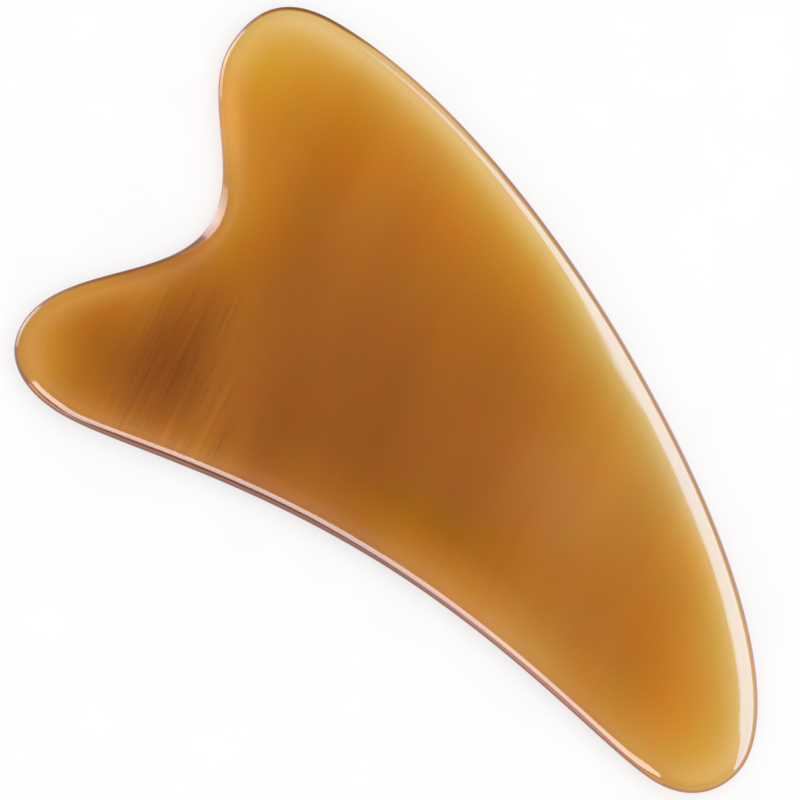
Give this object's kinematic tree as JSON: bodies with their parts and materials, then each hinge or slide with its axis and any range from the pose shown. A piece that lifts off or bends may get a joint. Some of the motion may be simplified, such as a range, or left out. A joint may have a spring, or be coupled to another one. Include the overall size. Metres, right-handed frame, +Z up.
{
  "type": "gua sha scraper",
  "caption": "Flat hand-held massage scraping board of polished amber horn, with a forked end, a long curved back, a hollow belly edge and a rounded tip.",
  "frame": {"origin": "under the middle of the board's bounding box, on the surface that the board lies on", "axes": "+X from the forked end to the rounded tip, +Y to the long curved back, +Z up through the board's thickness"},
  "size_m": [0.1, 0.0566, 0.0046],
  "materials": {
    "horn": "hand polished, glossy, slightly translucent, golden at the edges and amber brown in the middle"
  },
  "bodies": {
    "root": {"scraper_board": "horn"}
  },
  "joints": []
}
